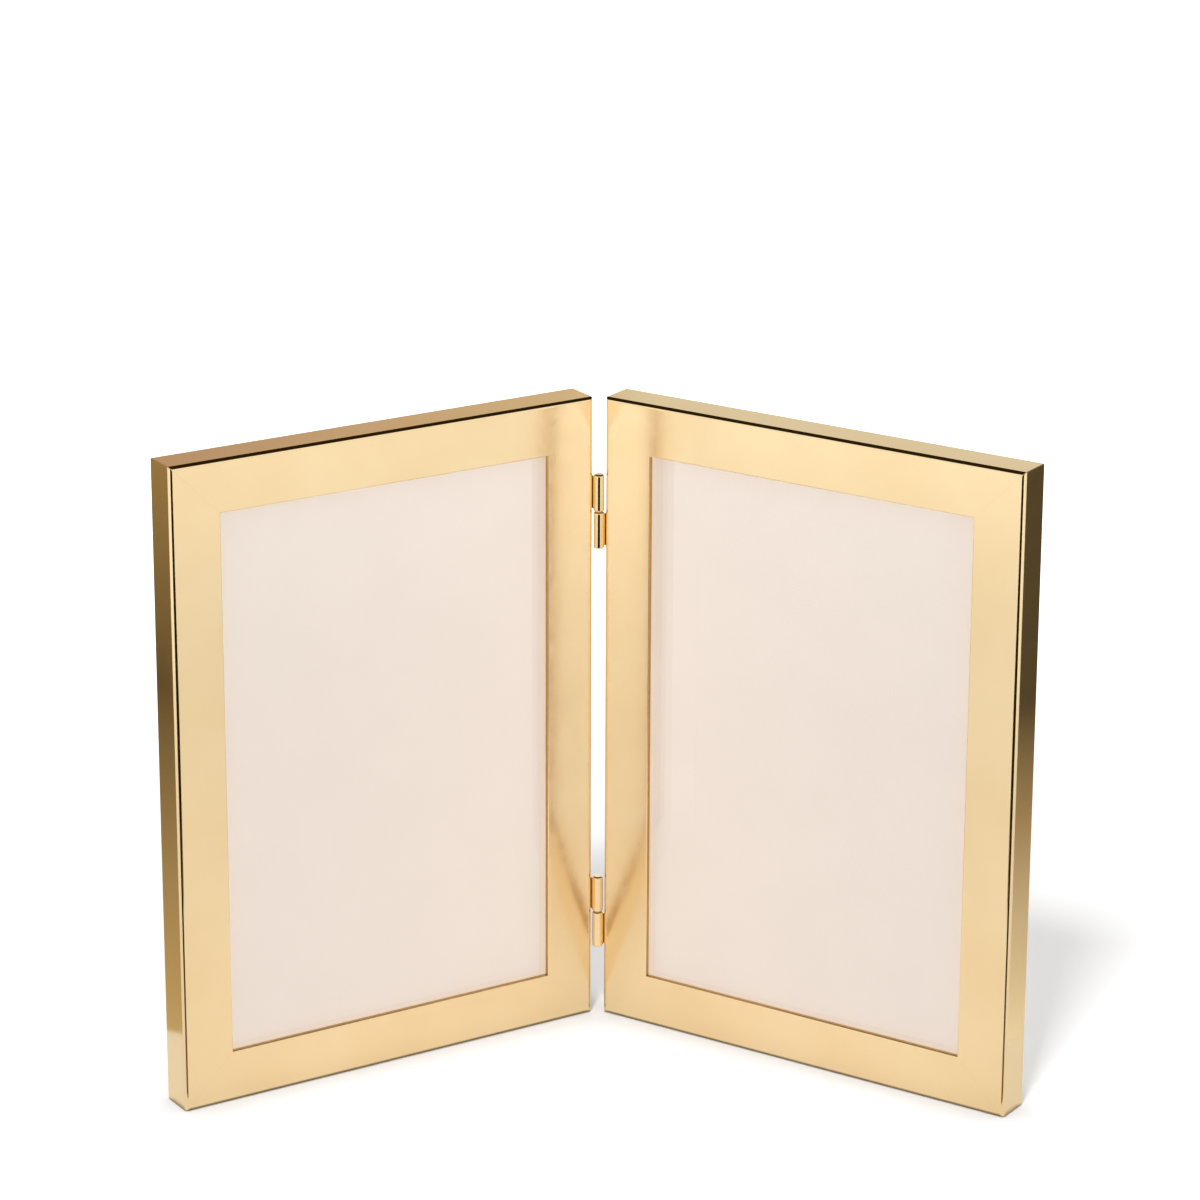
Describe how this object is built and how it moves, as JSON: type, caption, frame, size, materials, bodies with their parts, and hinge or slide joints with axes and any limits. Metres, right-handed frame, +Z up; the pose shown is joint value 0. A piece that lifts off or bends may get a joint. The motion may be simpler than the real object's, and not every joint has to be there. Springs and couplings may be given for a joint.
{
  "type": "double photo frame",
  "caption": "Folding double photo frame: polished gold metal panels joined by small hinges and standing in a V, each with glass, a paper insert and a backing held by turn buttons.",
  "frame": {"origin": "middle of the bounding box at the plane that the frame stands on", "axes": "+Z up, -Y towards the front of the picture panels, +X to the right seen from the front"},
  "size_m": [0.2234, 0.0758, 0.175],
  "materials": {
    "polished_gold": "polished and lacquered",
    "steel": "plain",
    "glass": "clear",
    "insert_paper": "matte, blush",
    "filler_card": "matte",
    "backing_board": "raw fibreboard",
    "velvet": "short pile velvet"
  },
  "bodies": {
    "left_panel": {"left_top_rail": "polished_gold", "left_bottom_rail": "polished_gold", "left_outer_stile": "polished_gold", "left_inner_stile": "polished_gold", "left_corner_keys": "steel", "left_glass": "glass", "left_paper_insert": "insert_paper", "left_filler_card": "filler_card", "left_backing_board": "backing_board", "left_back_cover": "velvet", "left_turn_button_screws": "polished_gold", "left_hinge_screws": "polished_gold", "upper_hinge_left_leaf": "polished_gold", "lower_hinge_left_leaf": "polished_gold"},
    "right_panel": {"right_top_rail": "polished_gold", "right_bottom_rail": "polished_gold", "right_outer_stile": "polished_gold", "right_inner_stile": "polished_gold", "right_corner_keys": "steel", "right_glass": "glass", "right_paper_insert": "insert_paper", "right_filler_card": "filler_card", "right_backing_board": "backing_board", "right_back_cover": "velvet", "right_turn_button_screws": "polished_gold", "right_hinge_screws": "polished_gold", "upper_hinge_right_leaf": "polished_gold", "lower_hinge_right_leaf": "polished_gold", "upper_hinge_pin": "steel", "lower_hinge_pin": "steel"},
    "left_top_turn_button": {"left_top_turn_button": "polished_gold"},
    "left_bottom_turn_button": {"left_bottom_turn_button": "polished_gold"},
    "left_outer_turn_button": {"left_outer_turn_button": "polished_gold"},
    "left_inner_turn_button": {"left_inner_turn_button": "polished_gold"},
    "right_top_turn_button": {"right_top_turn_button": "polished_gold"},
    "right_bottom_turn_button": {"right_bottom_turn_button": "polished_gold"},
    "right_outer_turn_button": {"right_outer_turn_button": "polished_gold"},
    "right_inner_turn_button": {"right_inner_turn_button": "polished_gold"}
  },
  "joints": [
    {"name": "panel_hinge", "type": "hinge", "parent": "left_panel", "child": "right_panel", "pos_m": [0, 0.02945, 0.0875], "axis": [0, 0, 1], "range_deg": [-114.9, 72.2]},
    {"name": "left_top_turn_button_pivot", "type": "hinge", "parent": "left_panel", "child": "left_top_turn_button", "pos_m": [-0.05951, 0.0043, 0.169], "axis": [-0.5417, 0.8406, 0], "range_deg": [-90, 90]},
    {"name": "left_bottom_turn_button_pivot", "type": "hinge", "parent": "left_panel", "child": "left_bottom_turn_button", "pos_m": [-0.05951, 0.0043, 0.006], "axis": [-0.5417, 0.8406, 0], "range_deg": [-90, 90]},
    {"name": "left_outer_turn_button_pivot", "type": "hinge", "parent": "left_panel", "child": "left_outer_turn_button", "pos_m": [-0.10684, -0.0262, 0.0875], "axis": [-0.5417, 0.8406, 0], "range_deg": [-90, 90]},
    {"name": "left_inner_turn_button_pivot", "type": "hinge", "parent": "left_panel", "child": "left_inner_turn_button", "pos_m": [-0.01219, 0.0348, 0.0875], "axis": [-0.5417, 0.8406, 0], "range_deg": [-90, 90]},
    {"name": "right_top_turn_button_pivot", "type": "hinge", "parent": "right_panel", "child": "right_top_turn_button", "pos_m": [0.05951, 0.0043, 0.169], "axis": [0.5417, 0.8406, 0], "range_deg": [-90, 90]},
    {"name": "right_bottom_turn_button_pivot", "type": "hinge", "parent": "right_panel", "child": "right_bottom_turn_button", "pos_m": [0.05951, 0.0043, 0.006], "axis": [0.5417, 0.8406, 0], "range_deg": [-90, 90]},
    {"name": "right_outer_turn_button_pivot", "type": "hinge", "parent": "right_panel", "child": "right_outer_turn_button", "pos_m": [0.10684, -0.0262, 0.0875], "axis": [0.5417, 0.8406, 0], "range_deg": [-90, 90]},
    {"name": "right_inner_turn_button_pivot", "type": "hinge", "parent": "right_panel", "child": "right_inner_turn_button", "pos_m": [0.01219, 0.0348, 0.0875], "axis": [0.5417, 0.8406, 0], "range_deg": [-90, 90]}
  ]
}
